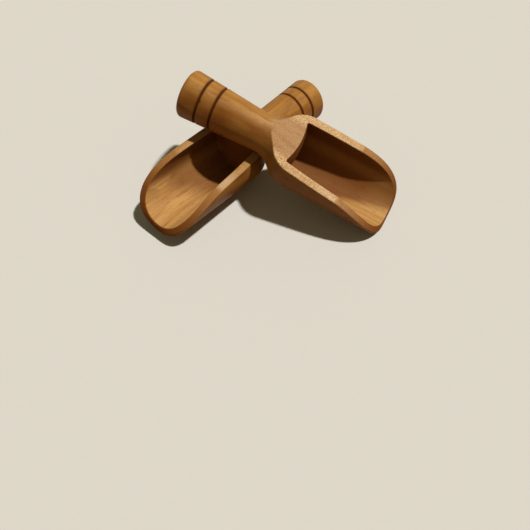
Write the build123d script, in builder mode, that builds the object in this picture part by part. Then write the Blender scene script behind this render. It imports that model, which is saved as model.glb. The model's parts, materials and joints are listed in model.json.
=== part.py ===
"""Two small turned wooden measuring scoops, one lying down and one leaning across it.

Each scoop is turned from a single stick of wood: a tapered handle with two burnt
grooves, a flared shoulder and a round head that is bored from the front and then
sawn open along the top. Both scoops are the same shape.
"""
import os
from math import acos, asin, atan, atan2, cos, degrees, hypot, radians, sin, tan

from build123d import *

os.makedirs("parts", exist_ok=True)

# A scoop lies along X, from the end of its handle to the lip of its mouth, with its
# open side up. Lengths are in millimetres and angles in degrees.

# Handle
handle_end_radius = 8.4
handle_length = 28.7
neck_radius = 6.6
end_round = 1.5

# Burnt grooves round the handle
groove_from_end = 7.0
groove_spacing = 5.3
groove_wire_radius = 0.55
groove_depth = 0.4

# Head, from the end of the shoulder to the lip
head_radius = 12.5
head_length = 38.4
flare_radius = 9.6
shoulder_radius = 10.0

# Bore of the bowl, whose back wall swells a little towards the mouth
bore_radius = 9.9
bore_behind_shoulder = 1.7
back_wall_swell = 1.9
bore_corner_round = 0.4

# Saw cut that opens the bowl: a flat that falls gently, then a round down to the lip
flat_height_at_neck = 7.7
flat_fall_angle = 7.1
mouth_curve_length = 21.0
along_flat_share = 0.49
above_lip_share = 0.39
edge_round = 0.6
bowl_edge_round = 0.3

# How the two scoops lie: where the axes cross in plan, how far each is turned about
# its own axis, and the angle in plan between their mouths
crossing_on_lower = 41.6
crossing_on_upper = 18.6
crossing_angle = 106.0
lower_roll = -7.7
upper_roll = 12.1
seat_gap = 0.15
seat_tolerance = 0.02
seat_steps = 30

# The saw and the drill run this far past the wood
overrun = 3.0

# The flare and the shoulder are two arcs that meet at the steepest place
taper_angle = atan((handle_end_radius - neck_radius) / handle_length)
arcs_radius = flare_radius + shoulder_radius
flare_rise = flare_radius * cos(taper_angle) + shoulder_radius + neck_radius - head_radius
flare_angle = acos(flare_rise / arcs_radius)
flare_run = flare_radius * (sin(taper_angle) + sin(flare_angle))
shoulder_from_end = handle_length + flare_run + shoulder_radius * sin(flare_angle)
length = shoulder_from_end + head_length
back_wall_from_end = shoulder_from_end - bore_behind_shoulder

# Side view of the saw cut
mouth_curve_from_end = length - mouth_curve_length
fall = tan(radians(flat_fall_angle))


def flat_height(distance):
    """Height of the flat over the axis, at a distance from the end of the handle."""
    return flat_height_at_neck - fall * (distance - handle_length)


def handle_radius(distance):
    """Radius of the tapered handle at a distance from its end."""
    return handle_end_radius - (handle_end_radius - neck_radius) * distance / handle_length


with BuildPart() as scoop:
    # Turned outside
    with BuildSketch(Plane.XY):
        with BuildLine():
            handle_line = Line((0, handle_end_radius), (handle_length, neck_radius))
            flare = JernArc(
                handle_line @ 1,
                handle_line % 1,
                flare_radius,
                degrees(taper_angle + flare_angle),
            )
            shoulder = JernArc(flare @ 1, flare % 1, shoulder_radius, -degrees(flare_angle))
            head_line = Line(shoulder @ 1, (length + overrun, head_radius))
            Polyline(head_line @ 1, (length + overrun, 0), (0, 0), handle_line @ 0)
        make_face()
    revolve(axis=Axis.X)
    fillet(scoop.edges().group_by(Axis.X)[0], end_round)

    # Two grooves, each with a round bottom
    with BuildSketch(Plane.XY):
        for distance in (groove_from_end, groove_from_end + groove_spacing):
            centre_height = handle_radius(distance) + groove_wire_radius - groove_depth
            with Locations((distance, centre_height)):
                Circle(groove_wire_radius)
    revolve(axis=Axis.X, mode=Mode.SUBTRACT)

    # Saw cut, taken from one side of the head to the other
    with BuildSketch(Plane.XZ.offset(head_radius + overrun)):
        with BuildLine():
            flat_line = Line(
                (0, flat_height(0)),
                (mouth_curve_from_end, flat_height(mouth_curve_from_end)),
            )
            drop = flat_height(mouth_curve_from_end) + head_radius
            along_flat = along_flat_share * mouth_curve_length
            mouth_curve = Bezier(
                flat_line @ 1,
                (mouth_curve_from_end + along_flat, flat_height(mouth_curve_from_end + along_flat)),
                (length, -head_radius + above_lip_share * drop),
                (length, -head_radius),
            )
            Polyline(
                mouth_curve @ 1,
                (length, -head_radius - overrun),
                (length + 2 * overrun, -head_radius - overrun),
                (length + 2 * overrun, head_radius + overrun),
                (0, head_radius + overrun),
                flat_line @ 0,
            )
        make_face()
    extrude(amount=-2 * (head_radius + overrun), mode=Mode.SUBTRACT)

    # Sanded round the outside of the flat and the mouth
    flat_face = scoop.faces().filter_by(GeomType.PLANE).sort_by(SortBy.AREA)[-1]
    mouth_face = scoop.faces().filter_by(GeomType.EXTRUSION)[0]
    sawn_edges = flat_face.edges() + mouth_face.edges()
    fillet(sawn_edges.filter_by(Axis.Y, reverse=True), edge_round)

    # Bore
    with BuildSketch(Plane.XY):
        with BuildLine():
            back_wall = SagittaArc(
                (back_wall_from_end, -bore_radius),
                (back_wall_from_end, bore_radius),
                -back_wall_swell,
            )
            Polyline(
                back_wall @ 1,
                (length + 2 * overrun, bore_radius),
                (length + 2 * overrun, -bore_radius),
                back_wall @ 0,
            )
        bore_outline = make_face()
        fillet(bore_outline.vertices().group_by(Axis.X)[0], bore_corner_round)
        with Locations(((back_wall_from_end + length) / 2, -head_radius)):
            Rectangle(2 * length, 2 * head_radius, mode=Mode.SUBTRACT)
    revolve(axis=Axis.X, mode=Mode.SUBTRACT)

    # The edge that the bore leaves round the bowl is crisper
    fillet(scoop.edges(Select.NEW), bowl_edge_round)


def lying(point, from_end, heading, rise, roll):
    """Plane of a scoop whose axis passes through a point at a distance from its end."""
    along = Vector(1, 0, 0).rotate(Axis.Y, -rise).rotate(Axis.Z, heading)
    upward = Vector(0, 0, 1).rotate(Axis.X, roll).rotate(Axis.Y, -rise).rotate(Axis.Z, heading)
    return Plane(origin=Vector(*point) - from_end * along, x_dir=along, z_dir=upward)


# The lower scoop rests on the round of its handle's end and on its shoulder
end_height = handle_end_radius - end_round
shoulder_height = head_radius - shoulder_radius
reach = shoulder_from_end - end_round
step_down = shoulder_height - end_height
lower_rise = asin((shoulder_radius - end_round) / hypot(reach, step_down)) + atan2(step_down, reach)
lower_end_height = end_round + end_height * cos(lower_rise) - end_round * sin(lower_rise)
lower_height = lower_end_height + crossing_on_lower * sin(lower_rise)
lower_plane = lying((0, 0, lower_height), crossing_on_lower, 0, degrees(lower_rise), lower_roll)

# The upper scoop rests on the lip of its mouth
lip_reach = length - edge_round - crossing_on_upper
lip_height = head_radius - edge_round


def leaning(height):
    """Plane of the upper scoop, for the height of its axis over the crossing."""
    lip_angle = atan2(lip_height, lip_reach)
    rise = lip_angle - asin((height - edge_round) / hypot(lip_reach, lip_height))
    return lying((0, 0, height), crossing_on_upper, crossing_angle, degrees(rise), upper_roll)


# It starts clear of the lower scoop and comes down until its neck is on the flat's edge
lower_shape = scoop.part.moved(lower_plane.location)
upper_height = lower_height + head_radius + handle_end_radius
for _ in range(seat_steps):
    upper_shape = scoop.part.moved(leaning(upper_height).location)
    gap = lower_shape.distance_to(upper_shape)
    if gap < seat_gap + seat_tolerance:
        break
    upper_height = upper_height - (gap - seat_gap)

# The origin is on the ground under the middle of the pair
pair_box = Compound([lower_shape, upper_shape]).bounding_box()
middle = Vector(pair_box.center().X, pair_box.center().Y, 0)


def standing(plane):
    """The plane moved so that the middle of the pair is the origin."""
    return Plane(origin=plane.origin - middle, x_dir=plane.x_dir, z_dir=plane.z_dir)


with BuildPart(standing(lower_plane)) as lower_scoop:
    add(scoop.part)
lower_scoop.part.label = "lower_scoop"
export_step(lower_scoop.part, "parts/lower_scoop.step")

with BuildPart(standing(leaning(upper_height))) as upper_scoop:
    add(scoop.part)
upper_scoop.part.label = "upper_scoop"
export_step(upper_scoop.part, "parts/upper_scoop.step")
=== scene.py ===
"""Looks of a pair of small turned wooden measuring scoops.

Each scoop keeps the solid it was modelled with and gets a wood of its own. The wood
follows the piece: the grain runs from the handle to the lip, the two grooves are
burnt, the sawn flat and rims are sanded and paler, and the bored bowl is darker
towards its back. Shade is painted into the colour as well: on the side of each scoop
turned from the lamp, up the walls of the bowl and down the mouth to the lip.
"""

import json
from math import asin, atan2, cos, pi, radians, sin, tan
from types import SimpleNamespace

import bpy
from bpy.props import FloatProperty, FloatVectorProperty, PointerProperty
from mathutils import Matrix, Vector

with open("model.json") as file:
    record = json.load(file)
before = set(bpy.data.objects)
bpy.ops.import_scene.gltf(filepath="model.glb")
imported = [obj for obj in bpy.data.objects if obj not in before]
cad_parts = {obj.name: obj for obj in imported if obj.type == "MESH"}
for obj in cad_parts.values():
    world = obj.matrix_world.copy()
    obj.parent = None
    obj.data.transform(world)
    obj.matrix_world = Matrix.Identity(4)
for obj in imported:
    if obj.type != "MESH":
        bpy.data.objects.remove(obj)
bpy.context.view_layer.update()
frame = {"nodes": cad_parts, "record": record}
mounts = {mount["name"]: mount for mount in frame["record"]["mounts"]}

bl_info = {
    "name": "Wooden measuring scoops",
    "version": (1, 0, 0),
    "blender": (4, 5, 0),
    "location": "3D View > Sidebar > Scoops",
    "description": "Woods, light and camera for a pair of turned measuring scoops",
    "category": "Material",
}

MM = 0.001

# The curve of the mouth is close to a superellipse with these powers
MOUTH_RUN_POWER = 1.78
MOUTH_DROP_POWER = 1.82

# Where each mask starts and where it is full. The saw cut, the mouth's curve, the facing,
# the painted shaded side, the year and the noises are shares. The rest is in millimetres:
# along the scoop from the handle's end, across it, up from its axis, or beyond the named border.
EDGE = SimpleNamespace(
    sawn=(-0.038, -0.012),
    worn=(-0.27, -0.02),
    worn_along=(47, 40),
    beyond_bore_side=(0.45, 0.15),
    beyond_bore_start=(-0.6, -0.2),
    back_wall_beyond_side=(-0.1, -0.5),
    back_wall_middle=(3.0, 2.0),
    end_facing=(0.2, 0.9),
    deck_across=(8, 4.5),
    deck_along=(46, 42),
    curve=(0.0, 0.12),
    lip=(0.15, 0.9),
    pale_across=(6, 9),
    pale_from=(52, 58),
    pale_to=(66, 60),
    darker_beyond_end=(7, -4),
    painted_bounce_up=(-8, -5),
    darker_along=(66, 78),
    bowl_side_shade_up=(-4.8, -1.5),
    shaded_side=(-0.2, 0.45),
    shaded_side_below=(0.7, 0.95),
    late_grows=(0.25, 0.92),
    late_ends=(1.0, 0.94),
    ring_cloud=(0.35, 0.65),
    streak=(0.5, 0.72),
    fibre=(0.42, 0.72),
    pores=(0.60, 0.70),
    dull_specks=(0.52, 0.62),
    fresh_specks=(0.53, 0.61),
    early=(0.42, 0.62),
    pit=(0.75, 0.3),
    burnt_beyond_groove=(0.12, -0.22),
    scorched_beyond_groove=(1.1, 0.0),
)

# How much of the wood under it a layer hides where it is full
COVER = SimpleNamespace(
    worn=0.7,
    bowl_side_shade=0.8,
    handled=0.6,
    shaded_side_everywhere=0.08,
    ring_least=0.55,
    ring_cloud=0.6,
    streak=0.34,
    pale=0.35,
    mouth=0.8,
    dull_specks=0.55,
    fresh_specks=0.82,
    early=0.3,
    end_grain=0.35,
    back_wall_grain=0.7,
    # The lip's share is painted shade
    lip=0.9,
    pit=0.9,
    scorched=0.3,
    burnt=0.93,
)

# How much of a layer or of the grain goes where something else is full
LESS = SimpleNamespace(
    painted_bounce_up=0.3,
    darker_along=0.3,
    shaded_side_below=0.45,
    grain_sawn=0.55,
    grain_bored=0.25,
    pores_sawn=0.4,
    pores_bored=0.35,
    specks_deck=0.8,
    specks_curve=0.75,
)

# How far a noise shifts the borders, in millimetres, except that of the painted shaded
# side, which is a share
SWAY = SimpleNamespace(
    ring_waver=9, ring_ripple=1.6, darker=16, shaded_side=0.6, pit=0.6, groove=0.25
)

# How much the rings shift along the scoop for each millimetre, the radius inside which the
# painted shaded side fades out, and how far apart two figures lie in the timber
RING_LEAN = 0.03
SHADED_SIDE_RADIUS = 7.0
FIGURE_STEP = (37, 11, 23)

# Each noise's fineness per millimetre along the scoop, across it and up, then its detail
# and its roughness
GRAIN = {
    "waver": ((0.02, 0.06, 0.06), 2.0, 0.55),
    "ripple": ((0.06, 0.3, 0.3), 3.0, 0.55),
    "fibre": ((0.07, 1.5, 1.5), 5.0, 0.62),
    "streak": ((0.022, 0.36, 0.36), 3.0, 0.55),
    "cloud": ((0.05, 0.11, 0.11), 2.0, 0.55),
    "flecks": ((0.4, 3.1, 3.1), 2.0, 0.55),
    "dull_specks": ((1.9, 3.4, 3.4), 1.0, 0.6),
    "fresh_specks": ((2.4, 3.3, 3.3), 1.0, 0.6),
}
TURNING_MARKS = ((1.7, 0.0, 0.0), 3.0, 0.55)
BORING_MARKS = ((0.9, 0.0, 0.0), 2.0, 0.55)

# Relief of the surface in millimetres, and what each thing adds to its roughness
RELIEF = SimpleNamespace(
    fibre=0.035, pores=0.03, turned=0.03, bored=0.04, sawn=0.11, cloud=0.12, burnt=0.08
)
RELIEF_STRENGTH = 0.8
ROUGH = SimpleNamespace(
    plain=0.41, fibre=0.14, sawn=0.25, lip=0.25, bored=0.16, across=0.2, burnt=0.45, pores=0.08
)

# Half the floor's side and the nearest that the camera sees, in metres
FLOOR_HALF = 3.0
CAMERA_NEAR = 0.005

# Places of a Mix node's colour sockets, whose names its other kinds share
MIX_FIRST, MIX_SECOND, MIX_RESULT = 6, 7, 2


def seen(red, green, blue):
    """A colour as it is seen, each part 0 to 255, as the linear values that Blender keeps."""
    parts = [part / 255 for part in (red, green, blue)]
    return tuple(p / 12.92 if p <= 0.04045 else ((p + 0.055) / 1.055) ** 2.4 for p in parts)


def size(name, description, default):
    """A length that the user can change, given here in millimetres."""
    return FloatProperty(
        name=name, description=description, default=default * MM, min=0, unit="LENGTH", precision=4
    )


def share(name, description, default):
    """A share from nothing to all."""
    return FloatProperty(
        name=name, description=description, default=default, min=0, max=1, subtype="FACTOR"
    )


def angle(name, description, default):
    """An angle that the user can change, given here in degrees."""
    return FloatProperty(
        name=name, description=description, default=radians(default), subtype="ANGLE"
    )


def number(name, description, default, **limits):
    """A plain number that the user can change."""
    return FloatProperty(name=name, description=description, default=default, **limits)


def colour(name, description, default):
    """A colour that the user can change."""
    return FloatVectorProperty(
        name=name, description=description, default=default, size=3, min=0, max=1, subtype="COLOR"
    )


def point(name, description, default, subtype="TRANSLATION"):
    """A place that the user can change, given here in millimetres."""
    return FloatVectorProperty(
        name=name,
        description=description,
        default=tuple(part * MM for part in default),
        size=len(default),
        subtype=subtype,
        unit="LENGTH",
    )


class ScoopShape(bpy.types.PropertyGroup):
    """Where the burnt, sawn and bored places lie on a scoop, measured from its handle's end."""

    groove_from_end: size("First groove", "From the handle's end to the first groove", 7.0)
    groove_spacing: size("Groove spacing", "From the first groove to the second", 5.3)
    groove_width: size("Groove width", "Width of the burnt line in each groove", 0.9)
    handle_length: size("Handle length", "From the handle's end to the neck", 28.7)
    flat_height: size("Flat height", "Height of the sawn flat over the axis at the neck", 7.7)
    flat_fall: angle("Flat fall", "Angle at which the sawn flat falls towards the mouth", 7.1)
    mouth_from_end: size("Mouth start", "From the handle's end to the start of the curve", 60.74)
    mouth_length: size("Mouth length", "Length of the mouth's curve along the axis", 21.0)
    head_radius: size("Head radius", "Radius of the head outside", 12.5)
    bore_radius: size("Bore radius", "Radius of the bowl inside", 9.9)
    bore_from_end: size("Bore start", "From the handle's end to the back of the bowl", 41.6)
    wall_swell: size("Wall swell", "How far the bowl's back wall swells in its middle", 1.9)


class ScoopWood(bpy.types.PropertyGroup):
    """Colours and grain that both scoops share."""

    turned: colour("Turned wood", "Smooth wood of the handle and the outside", seen(176, 121, 53))
    bored: colour("Bored wood", "Inside of the bowl", seen(206, 156, 92))
    # A darker colour laid towards the back of the bowl
    darker: colour("Rubbed wood", "Back of the bowl, darkened by the drill", seen(118, 68, 28))
    late: colour("Late wood", "Darker part of each year's ring", seen(122, 66, 18))
    fresh: colour("Fresh wood", "Bright specks where the sawn wood is sanded", seen(242, 208, 166))
    handled: colour("Handled wood", "Flat behind the bowl, under the fingers", seen(170, 120, 80))
    mouth: colour("Mouth", "Cut curve of the mouth", seen(156, 102, 50))
    early: colour("Early wood", "Paler clouds in the wood", seen(200, 146, 70))
    pore: colour("Pores", "Fine dark pores along the grain", seen(100, 56, 20))
    burnt: colour("Burnt wood", "Bottom of the grooves", seen(66, 26, 4))
    gloss: colour("Gloss", "Tint of the gloss", (1.0, 0.84, 0.6))
    gloss_share: share("Gloss strength", "Strength of the gloss", 0.22)
    ring_spacing: size("Ring spacing", "Width of one year's ring", 3.1)
    ring_share: share("Ring strength", "How much the rings darken the wood", 0.4)
    fibre_share: share("Fibre strength", "How much the fine streaks darken the wood", 0.38)
    pore_share: share("Pore strength", "How much the pores darken the wood", 0.6)


class LowerScoop(bpy.types.PropertyGroup):
    """How the wood of the lower scoop differs."""

    roll: angle("Roll", "How far the scoop is turned about its own axis", -7.7)
    pith: point("Pith", "Centre of the rings, across the scoop and up", (-21, -26), subtype="NONE")
    figure: number("Figure", "Which piece of the timber it is", 3.0)
    sawn: colour("Sawn wood", "Sanded flat and rims", seen(184, 136, 78))
    groove_pit: point("Groove pit", "Place of a small pit by the groove", (19.0, 7.1, -1.0))
    side_pit: point("Side pit", "Place of a small pit on the handle's side", (24.0, -5.0, -4.6))
    fresh_share: share("Fresh specks", "How much the sawn wood is specked", 0.3)
    pale_side: number("Pale side", "Side of the rim that is sanded palest, 1 or -1", 1.0)
    darker_to: size("Rubbed to", "From the handle's end to where the rubbed wood fades", 60)
    darker_share: share("Rubbed strength", "How much the back of the bowl is darkened", 0.75)
    darker_slant: number("Rubbed slant", "Slant of the rubbed wood's end across the bowl", -0.8)
    # The side of the scoop where shade is painted, and how dark it is painted
    shaded_side: angle("Heart side", "Direction of the painted_shade, about the axis from up", -125)
    shaded_side_share: share("Heart strength", "How dark the painted_shade is", 0.7)


class UpperScoop(bpy.types.PropertyGroup):
    """How the wood of the upper scoop differs."""

    roll: angle("Roll", "How far the scoop is turned about its own axis", 12.1)
    pith: point("Pith", "Centre of the rings, across the scoop and up", (28, -19), subtype="NONE")
    figure: number("Figure", "Which piece of the timber it is", 11.0)
    sawn: colour("Sawn wood", "Sanded flat and rims", seen(214, 170, 118))
    groove_pit: point("Groove pit", "Place of a small pit by the groove", (7.4, -4.3, 6.7))
    side_pit: point("Side pit", "Place of a small pit on the handle's side", (17.6, -7.1, -1.4))
    fresh_share: share("Fresh specks", "How much the sawn wood is specked", 1.0)
    pale_side: number("Pale side", "Side of the rim that is sanded palest, 1 or -1", -1.0)
    darker_to: size("Rubbed to", "From the handle's end to where the rubbed wood fades", 72)
    darker_share: share("Rubbed strength", "How much the back of the bowl is darkened", 0.97)
    darker_slant: number("Rubbed slant", "Slant of the rubbed wood's end across the bowl", 3.0)
    # The side of the scoop where shade is painted, and how dark it is painted
    shaded_side: angle("Heart side", "Direction of the painted_shade, about the axis from up", 95)
    shaded_side_share: share("Heart strength", "How dark the painted_shade is", 0.85)


class ScoopStage(bpy.types.PropertyGroup):
    """Floor, light and camera."""

    floor: colour("Floor", "Colour of the floor as it is seen", seen(224, 220, 212))
    backdrop: colour("Backdrop", "Colour behind the floor as it is seen", seen(222, 216, 201))
    bounce: colour("Bounce", "Colour of the light that the floor sends back", seen(128, 92, 50))
    ambient: colour("Ambient", "Even light from all round", (0.121, 0.110, 0.068))
    lamp: number("Lamp", "Strength of the main light", 2.95, min=0)
    lamp_colour: colour("Lamp colour", "Colour of the main light", (1.0, 0.985, 0.955))
    softness: angle("Softness", "How wide the main light looks from the scoops", 3)
    azimuth: angle("Light from", "Where the main light is, in plan", 134.7)
    height: angle("Light height", "How high the main light is", 65.8)
    camera_place: point("Camera place", "Where the camera stands", (90.089, 77.470, 147.023))
    camera_turn: FloatVectorProperty(
        name="Camera turn",
        description="How the camera is turned",
        default=(radians(31.010), radians(0.756), radians(131.816)),
        size=3,
        subtype="EULER",
    )
    lens: number("Lens", "Focal length in millimetres", 33.95, min=1)


def both_ways(operation):
    """An operator's two methods: with the socket on its left, and with it on its right."""

    def forward(tone, other):
        return tone.shade.math(operation, tone, other)

    def reflected(tone, other):
        return tone.shade.math(operation, other, tone)

    return forward, reflected


class Tone:
    """A socket that carries a number, a colour or a vector, so that its maths reads as Python."""

    __add__, __radd__ = both_ways("ADD")
    __sub__, __rsub__ = both_ways("SUBTRACT")
    __mul__, __rmul__ = both_ways("MULTIPLY")
    __truediv__, __rtruediv__ = both_ways("DIVIDE")
    __pow__, __rpow__ = both_ways("POWER")

    def __init__(self, shade, socket):
        self.shade = shade
        self.socket = socket

    def __abs__(self):
        return self.shade.math("ABSOLUTE", self)


class Shade:
    """A node tree while it is made: adds its nodes and joins their sockets."""

    def __init__(self, tree):
        self.nodes = tree.nodes
        self.links = tree.links
        self.nodes.clear()

    def node(self, kind, settings, sockets, outputs=(0,)):
        """A node of a kind: its settings first, then the value or link of each socket."""
        made = self.nodes.new(kind)
        for key, value in settings.items():
            setattr(made, key, value)
        for key, value in sockets.items():
            if isinstance(value, Tone):
                self.links.new(value.socket, made.inputs[key])
            else:
                made.inputs[key].default_value = value
        tones = [Tone(self, made.outputs[key]) for key in outputs]
        return tones[0] if len(tones) == 1 else tones

    def math(self, operation, first, second=0.0):
        """One sum on numbers."""
        return self.node("ShaderNodeMath", {"operation": operation}, {0: first, 1: second})

    def larger(self, first, second):
        """The larger of two numbers."""
        return self.math("MAXIMUM", first, second)

    def step(self, value, start, full):
        """Eases from 0 at the start to 1 where it is full."""
        return self.node(
            "ShaderNodeMapRange",
            {"interpolation_type": "SMOOTHSTEP"},
            {"Value": value, "From Min": start, "From Max": full},
        )

    def mix(self, share_of_second, first, second):
        """Mixes two colours."""
        return self.node(
            "ShaderNodeMix",
            {"data_type": "RGBA"},
            {
                "Factor": share_of_second,
                MIX_FIRST: self.full(first),
                MIX_SECOND: self.full(second),
            },
            outputs=(MIX_RESULT,),
        )

    def full(self, paint):
        """A colour with its fourth part, which a colour socket wants."""
        return paint if isinstance(paint, Tone) else (*paint, 1.0)

    def vector(self, operation, first, second=(0.0, 0.0, 0.0), output="Vector"):
        """One sum on vectors."""
        settings = {"operation": operation}
        return self.node("ShaderNodeVectorMath", settings, {0: first, 1: second}, (output,))

    def noise(self, place, fineness, detail, roughness):
        """Cloudy noise about a half."""
        stretched = self.vector("MULTIPLY", place, fineness)
        return self.node(
            "ShaderNodeTexNoise",
            {},
            {"Vector": stretched, "Scale": 1.0, "Detail": detail, "Roughness": roughness},
        )

    def looked_at(self):
        """1 where the camera looks, straight or in a reflection, and 0 for the light's own rays."""
        rays = ("Is Camera Ray", "Is Glossy Ray", "Is Transmission Ray")
        straight, mirrored, through = self.node("ShaderNodeLightPath", {}, {}, outputs=rays)
        return self.larger(self.larger(straight, mirrored), through)


def fresh_material(name):
    """A new material of that name, in place of an old one."""
    old = bpy.data.materials.get(name)
    if old:
        bpy.data.materials.remove(old)
    material = bpy.data.materials.new(name)
    material.use_nodes = True
    return material


def moved(edge, by):
    """An edge that starts and is full further on."""
    start, full = edge
    return start + by, full + by


def scoop_place(shade, mount, roll):
    """Where a point is on a scoop, in millimetres: along it from the handle's end, across, up."""
    along = -Vector(mount["axis"])
    heading = atan2(along.y, along.x)
    rise = asin(along.z)
    lying = (
        Matrix.Rotation(heading, 3, "Z")
        @ Matrix.Rotation(-rise, 3, "Y")
        @ Matrix.Rotation(roll, 3, "X")
    )
    back = lying.transposed()
    coordinates, normal = shade.node("ShaderNodeTexCoord", {}, {}, outputs=("Object", "Normal"))
    place = shade.node(
        "ShaderNodeMapping",
        {"vector_type": "POINT"},
        {
            "Vector": coordinates,
            "Location": -(back @ Vector(mount["pos_m"])) / MM,
            "Rotation": back.to_euler(),
            "Scale": (1 / MM,) * 3,
        },
    )
    x, y, z = shade.node("ShaderNodeSeparateXYZ", {}, {"Vector": place}, outputs=("X", "Y", "Z"))
    return SimpleNamespace(
        place=place,
        x=x,
        y=y,
        z=z,
        radius=(y * y + z * z) ** 0.5,
        facing_end=abs(shade.vector("DOT_PRODUCT", normal, tuple(along), "Value")),
    )


def saw_cut(shade, at, shape):
    """How far a point is past the saw cut, and how far along the curve of the mouth.

    The cut is a straight flat, then a curve that steepens down to the lip.
    """
    fall = tan(shape.flat_fall)
    neck = shape.handle_length / MM
    flat_height = shape.flat_height / MM
    curve_start = shape.mouth_from_end / MM
    curve_length = shape.mouth_length / MM
    drop = flat_height - fall * (curve_start + curve_length - neck) + shape.head_radius / MM
    flat = flat_height - (at.x - neck) * fall
    over_lip = shade.larger(1 - (flat - at.z) / drop, 0.0)
    along_curve = shade.larger((at.x - curve_start) / curve_length, 0.0)
    past_cut = along_curve**MOUTH_RUN_POWER + over_lip**MOUTH_DROP_POWER - 1
    return past_cut, along_curve


def scoop_masks(shade, at, shape, pale_side):
    """Masks of the places on a scoop: how it was made there, and which way its grain is cut."""
    bore_side = shape.bore_radius / MM
    bore_start = shape.bore_from_end / MM
    past_cut, along_curve = saw_cut(shade, at, shape)
    sawn = shade.step(past_cut, *EDGE.sawn)
    within_bore = shade.step(at.radius, *moved(EDGE.beyond_bore_side, bore_side))
    past_bore_start = shade.step(at.x, *moved(EDGE.beyond_bore_start, bore_start))
    bored = within_bore * past_bore_start * (1 - sawn)
    turned = 1 - shade.larger(sawn, bored)
    back_wall = bored * shade.step(at.radius, *moved(EDGE.back_wall_beyond_side, bore_side))
    end_grain = shade.step(at.facing_end, *EDGE.end_facing) * turned * COVER.end_grain
    pale_along = shade.step(at.x, *EDGE.pale_from) * shade.step(at.x, *EDGE.pale_to)
    return SimpleNamespace(
        sawn=sawn,
        bored=bored,
        turned=turned,
        across=shade.larger(end_grain, back_wall * COVER.back_wall_grain),
        back_wall_middle=bored * shade.step(at.radius, *EDGE.back_wall_middle),
        worn=shade.step(past_cut, *EDGE.worn) * shade.step(at.x, *EDGE.worn_along),
        deck=sawn * shade.step(abs(at.y), *EDGE.deck_across) * shade.step(at.x, *EDGE.deck_along),
        curve=shade.step(along_curve, *EDGE.curve) * sawn,
        # The mouth's curve down to the lip, where shade is painted and the wood is rougher
        lip=shade.step(along_curve, *EDGE.lip) * sawn,
        pale=shade.step(at.y * pale_side, *EDGE.pale_across) * pale_along * sawn,
    )


def scoop_grain(shade, at, wood, look):
    """Noises and masks of the grain: rings, fibres, streaks, clouds, pores and specks, and painted
    shade on one side.
    """
    figure = shade.vector("ADD", at.place, tuple(look.figure * step for step in FIGURE_STEP))
    noises = {name: shade.noise(figure, *settings) for name, settings in GRAIN.items()}
    grain = SimpleNamespace(**noises)
    grain.pores = shade.step(grain.flecks, *EDGE.pores)

    # Rings of the tree, seen as long stripes along the stick and as arcs across it
    from_pith_y = at.y - look.pith[0] / MM
    from_pith_z = at.z - look.pith[1] / MM
    years = (from_pith_y * from_pith_y + from_pith_z * from_pith_z) ** 0.5
    years = years + grain.waver * SWAY.ring_waver + grain.ripple * SWAY.ring_ripple
    years = (years + at.x * RING_LEAN) / (wood.ring_spacing / MM)
    in_year = shade.math("FRACT", years)
    grain.late = shade.step(in_year, *EDGE.late_grows) * shade.step(in_year, *EDGE.late_ends)

    # Painted shade on the side of the stick turned from the lamp, eased off further round,
    # where the floor's bounce lights it
    to_shaded_side = at.z * cos(look.shaded_side) - at.y * sin(look.shaded_side)
    to_shaded_side = to_shaded_side / shade.larger(at.radius, SHADED_SIDE_RADIUS)
    to_shaded_side = to_shaded_side + (grain.streak - 0.5) * SWAY.shaded_side
    eased_below = shade.step(to_shaded_side, *EDGE.shaded_side_below)
    grain.shaded_side = shade.step(to_shaded_side, *EDGE.shaded_side) * (1 - eased_below * LESS.shaded_side_below)
    return grain


def burnt_grooves(shade, at, grain, shape):
    """The burnt bottoms of the two grooves and their scorched margins, which wander a little."""
    first = shape.groove_from_end / MM
    second = first + shape.groove_spacing / MM
    half = shape.groove_width / MM / 2
    from_groove = shade.math("MINIMUM", abs(at.x - first), abs(at.x - second))
    from_groove = from_groove + (grain.ripple - 0.5) * SWAY.groove
    burnt = shade.step(from_groove, *moved(EDGE.burnt_beyond_groove, half))
    scorched = shade.step(from_groove, *moved(EDGE.scorched_beyond_groove, half))
    return burnt, scorched


def darker_bowl_back(shade, at, mask, grain, look):
    """Where the bowl is darker: at its back, and less so by the lip. Up its walls the darkening
    eases, as painted bounce light from the bowl's floor.
    """
    fade = at.x - at.y * look.darker_slant + (grain.streak - 0.5) * SWAY.darker
    darker = shade.step(fade, *moved(EDGE.darker_beyond_end, look.darker_to / MM))
    # Painted bounce light: the darkening eases up the bowl's walls, which the bowl's floor lights
    bounce_up_sides = 1 - shade.step(at.z, *EDGE.painted_bounce_up) * LESS.painted_bounce_up
    by_lip = 1 - shade.step(at.x, *EDGE.darker_along) * LESS.darker_along
    return darker * mask.bored * look.darker_share * bounce_up_sides * by_lip


def pit_mask(shade, at, grain, pit):
    """A small pit with a ragged border."""
    apart = shade.vector("DISTANCE", at.place, Vector(pit) / MM, "Value")
    apart = apart + (grain.dull_specks - 0.5) * SWAY.pit
    return shade.step(apart, *EDGE.pit)


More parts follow.
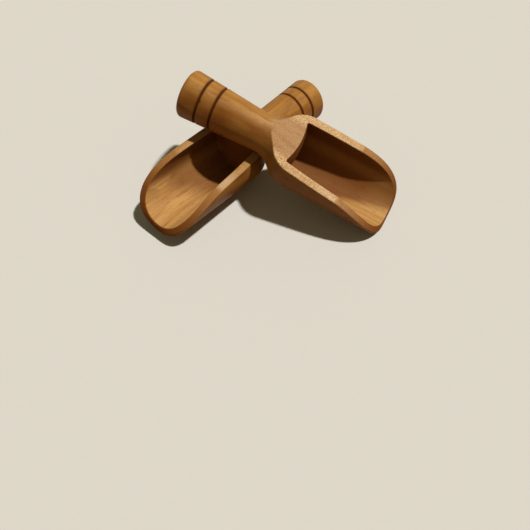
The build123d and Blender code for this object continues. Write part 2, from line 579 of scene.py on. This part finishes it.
def scoop_colour(shade, at, mask, grain, wood, look):
    """Colour of a scoop: turned wood, with the other woods, the grain and painted shade laid over
    it in turn.
    """
    calm = 1 - mask.sawn * LESS.grain_sawn - mask.bored * LESS.grain_bored
    open_pores = 1 - mask.sawn * LESS.pores_sawn - mask.bored * LESS.pores_bored
    # Painted shade on the bowl's walls above its floor
    bowl_side_shade = shade.step(at.z, *EDGE.bowl_side_shade_up) * mask.bored
    clouded = shade.step(grain.cloud, *EDGE.ring_cloud) * COVER.ring_cloud + COVER.ring_least
    specked = mask.sawn * (1 - mask.deck * LESS.specks_deck)
    specked = specked * (1 - mask.curve * LESS.specks_curve) * look.fresh_share
    layers = (
        (shade.larger(mask.sawn, mask.worn * COVER.worn), look.sawn),
        (mask.bored, wood.bored),
        # Darker towards the back of the bowl, eased up its walls as painted bounce light
        (darker_bowl_back(shade, at, mask, grain, look), wood.darker),
        # Painted shade up the bowl's walls, laid on in the colour of the pores
        (bowl_side_shade * COVER.bowl_side_shade, wood.pore),
        (mask.deck * COVER.handled, wood.handled),
        # Painted shade on the side turned from the lamp, strongest on the turned wood
        (grain.shaded_side * (mask.turned * look.shaded_side_share + COVER.shaded_side_everywhere), wood.late),
        (grain.late * clouded * wood.ring_share * calm, wood.late),
        (shade.step(grain.streak, *EDGE.streak) * calm * COVER.streak, wood.late),
        (shade.step(grain.fibre, *EDGE.fibre) * calm * wood.fibre_share, wood.late),
        (grain.pores * wood.pore_share * open_pores, wood.pore),
        (mask.pale * COVER.pale, wood.fresh),
        (mask.curve * COVER.mouth, wood.mouth),
        (
            shade.step(grain.dull_specks, *EDGE.dull_specks) * specked * COVER.dull_specks,
            wood.turned,
        ),
        (
            shade.step(grain.fresh_specks, *EDGE.fresh_specks) * specked * COVER.fresh_specks,
            wood.fresh,
        ),
        (shade.step(grain.cloud, *EDGE.early) * mask.turned * COVER.early, wood.early),
        # Darker end grain, the wood's own, and painted shade down the mouth's curve to the lip,
        # which faces away from the lamp
        (shade.larger(mask.across, mask.lip * COVER.lip), wood.late),
        (pit_mask(shade, at, grain, look.groove_pit) * COVER.pit, wood.burnt),
        (pit_mask(shade, at, grain, look.side_pit) * COVER.pit, wood.burnt),
        (mask.scorched * COVER.scorched, wood.late),
        (mask.burnt * COVER.burnt, wood.burnt),
    )
    laid = wood.turned
    for cover, tint in layers:
        laid = shade.mix(cover, laid, tint)
    return laid


def scoop_relief(shade, at, mask, grain):
    """Height of the surface in millimetres: fibres, pores, the marks of the tools and sanding."""
    turning = shade.noise(at.place, *TURNING_MARKS)
    boring = shade.noise(at.place, *BORING_MARKS)
    return (
        grain.fibre * RELIEF.fibre
        - grain.pores * RELIEF.pores
        + turning * mask.turned * RELIEF.turned
        + boring * mask.bored * RELIEF.bored
        + grain.dull_specks * mask.sawn * RELIEF.sawn
        + grain.cloud * RELIEF.cloud
        - mask.burnt * grain.flecks * RELIEF.burnt
    )


def scoop_roughness(mask, grain):
    """How rough the wood is."""
    return (
        ROUGH.plain
        + grain.fibre * ROUGH.fibre
        + mask.sawn * ROUGH.sawn
        + mask.lip * ROUGH.lip
        + mask.bored * ROUGH.bored
        + mask.across * ROUGH.across
        + mask.burnt * ROUGH.burnt
        + grain.pores * ROUGH.pores
    )


def wall_facing(shade, mount, shape):
    """The way the bowl's swelled back wall faces: straight out of the ball it is part of."""
    along = -Vector(mount["axis"])
    ball_radius = (shape.bore_radius**2 + shape.wall_swell**2) / (2 * shape.wall_swell)
    ball_from_end = shape.bore_from_end + shape.wall_swell - ball_radius
    centre = Vector(mount["pos_m"]) + along * ball_from_end
    coordinates = shade.node("ShaderNodeTexCoord", {}, {}, outputs=("Object",))
    outward = shade.vector("SUBTRACT", coordinates, tuple(centre))
    in_world = shade.node(
        "ShaderNodeVectorTransform",
        {"vector_type": "NORMAL", "convert_from": "OBJECT", "convert_to": "WORLD"},
        {"Vector": outward},
    )
    return shade.vector("NORMALIZE", in_world)


def scoop_wood(name, mount, look):
    """The wood of one scoop."""
    shape = bpy.context.scene.scoop_shape
    wood = bpy.context.scene.scoop_wood
    material = fresh_material(name)
    shade = Shade(material.node_tree)
    at = scoop_place(shade, mount, look.roll)
    mask = scoop_masks(shade, at, shape, look.pale_side)
    grain = scoop_grain(shade, at, wood, look)
    mask.burnt, mask.scorched = burnt_grooves(shade, at, grain, shape)

    # The very middle of the back wall shades as the ball it is, whatever its mesh says
    smooth = shade.node("ShaderNodeNewGeometry", {}, {}, outputs=("Normal",))
    facing = shade.mix(mask.back_wall_middle, smooth, wall_facing(shade, mount, shape))
    normal = shade.node(
        "ShaderNodeBump",
        {},
        {
            "Strength": RELIEF_STRENGTH,
            "Distance": MM,
            "Height": scoop_relief(shade, at, mask, grain),
            "Normal": facing,
        },
    )
    surface = shade.node(
        "ShaderNodeBsdfPrincipled",
        {},
        {
            "Base Color": scoop_colour(shade, at, mask, grain, wood, look),
            "Roughness": scoop_roughness(mask, grain),
            "Normal": normal,
            "Specular IOR Level": wood.gloss_share,
            "Specular Tint": shade.full(wood.gloss),
        },
    )
    shade.node("ShaderNodeOutputMaterial", {}, {"Surface": surface}, outputs=())
    return material


def dress(which, look):
    """Gives a scoop its wood in every slot of its mesh."""
    scoop = frame["nodes"].get(f"{which}_scoop")
    if scoop is None:
        raise RuntimeError(f"The model has no {which} scoop")
    wood = scoop_wood(f"{which}_scoop_wood", mounts[f"{which}_handle_end"], look)
    for slot in scoop.material_slots:
        slot.material = wood


class SCOOPS_OT_lower(bpy.types.Operator):
    """Gives the lower scoop its wood"""

    bl_idname = "scoops.lower"
    bl_label = "Lower scoop"

    def execute(self, context):
        dress("lower", context.scene.lower_scoop)
        return {"FINISHED"}


class SCOOPS_OT_upper(bpy.types.Operator):
    """Gives the upper scoop its wood"""

    bl_idname = "scoops.upper"
    bl_label = "Upper scoop"

    def execute(self, context):
        dress("upper", context.scene.upper_scoop)
        return {"FINISHED"}


def lay_floor(stage):
    """A pale floor. What it sends back to the scoops is warmer than what the camera sees."""
    material = fresh_material("floor_paint")
    shade = Shade(material.node_tree)
    paint = shade.mix(shade.looked_at(), stage.bounce, stage.floor)
    surface = shade.node(
        "ShaderNodeBsdfPrincipled",
        {},
        {"Base Color": paint, "Roughness": 0.9, "Specular IOR Level": 0.1},
    )
    shade.node("ShaderNodeOutputMaterial", {}, {"Surface": surface}, outputs=())
    mesh = bpy.data.meshes.new("floor")
    corners = [(x * FLOOR_HALF, y * FLOOR_HALF, 0) for x, y in ((-1, -1), (1, -1), (1, 1), (-1, 1))]
    mesh.from_pydata(corners, [], [(0, 1, 2, 3)])
    mesh.materials.append(material)
    floor = bpy.data.objects.new("floor", mesh)
    bpy.context.scene.collection.objects.link(floor)


def hang_lamp(stage):
    """The main light and the even light from all round."""
    lamp = bpy.data.lights.new("main_light", "SUN")
    lamp.energy = stage.lamp
    lamp.angle = stage.softness
    lamp.color = stage.lamp_colour
    holder = bpy.data.objects.new("main_light", lamp)
    holder.rotation_euler = (pi / 2 - stage.height, 0, stage.azimuth + pi / 2)
    bpy.context.scene.collection.objects.link(holder)
    world = bpy.data.worlds.new("studio")
    world.use_nodes = True
    air = Shade(world.node_tree)
    background = air.mix(air.looked_at(), stage.ambient, stage.backdrop)
    light = air.node("ShaderNodeBackground", {}, {"Color": background, "Strength": 1.0})
    air.node("ShaderNodeOutputWorld", {}, {"Surface": light}, outputs=())
    bpy.context.scene.world = world


def stand_camera(stage):
    """The camera, at the angle of the view that the scoops are shown from."""
    lens = bpy.data.cameras.new("camera")
    lens.lens = stage.lens
    lens.clip_start = CAMERA_NEAR
    camera = bpy.data.objects.new("camera", lens)
    camera.location = stage.camera_place
    camera.rotation_euler = stage.camera_turn
    bpy.context.scene.collection.objects.link(camera)
    bpy.context.scene.camera = camera


class SCOOPS_OT_stage(bpy.types.Operator):
    """Lays the floor and sets the light and the camera"""

    bl_idname = "scoops.stage"
    bl_label = "Stage"

    def execute(self, context):
        stage = context.scene.scoop_stage
        lay_floor(stage)
        hang_lamp(stage)
        stand_camera(stage)
        context.scene.view_settings.view_transform = "Standard"
        return {"FINISHED"}


class SCOOPS_PT_looks(bpy.types.Panel):
    """Woods, sizes and stage of the scoops"""

    bl_label = "Scoops"
    bl_idname = "SCOOPS_PT_looks"
    bl_space_type = "VIEW_3D"
    bl_region_type = "UI"
    bl_category = "Scoops"

    def draw(self, context):
        scene = context.scene
        for title, group, operator in (
            ("Shape", scene.scoop_shape, None),
            ("Wood", scene.scoop_wood, None),
            ("Lower scoop", scene.lower_scoop, SCOOPS_OT_lower),
            ("Upper scoop", scene.upper_scoop, SCOOPS_OT_upper),
            ("Stage", scene.scoop_stage, SCOOPS_OT_stage),
        ):
            box = self.layout.box()
            box.label(text=title)
            for key in group.__annotations__:
                box.prop(group, key)
            if operator:
                box.operator(operator.bl_idname)


GROUPS = {
    "scoop_shape": ScoopShape,
    "scoop_wood": ScoopWood,
    "lower_scoop": LowerScoop,
    "upper_scoop": UpperScoop,
    "scoop_stage": ScoopStage,
}
CLASSES = (SCOOPS_OT_lower, SCOOPS_OT_upper, SCOOPS_OT_stage, SCOOPS_PT_looks)


def register():
    """Adds the properties, the operators and the panel."""
    for name, group in GROUPS.items():
        bpy.utils.register_class(group)
        setattr(bpy.types.Scene, name, PointerProperty(type=group))
    for kind in CLASSES:
        bpy.utils.register_class(kind)


def unregister():
    """Takes them away again."""
    for kind in reversed(CLASSES):
        bpy.utils.unregister_class(kind)
    for name, group in reversed(GROUPS.items()):
        delattr(bpy.types.Scene, name)
        bpy.utils.unregister_class(group)


def main():
    """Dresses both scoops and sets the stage."""
    register()
    bpy.ops.scoops.lower()
    bpy.ops.scoops.upper()
    bpy.ops.scoops.stage()


if __name__ == "__main__":
    main()
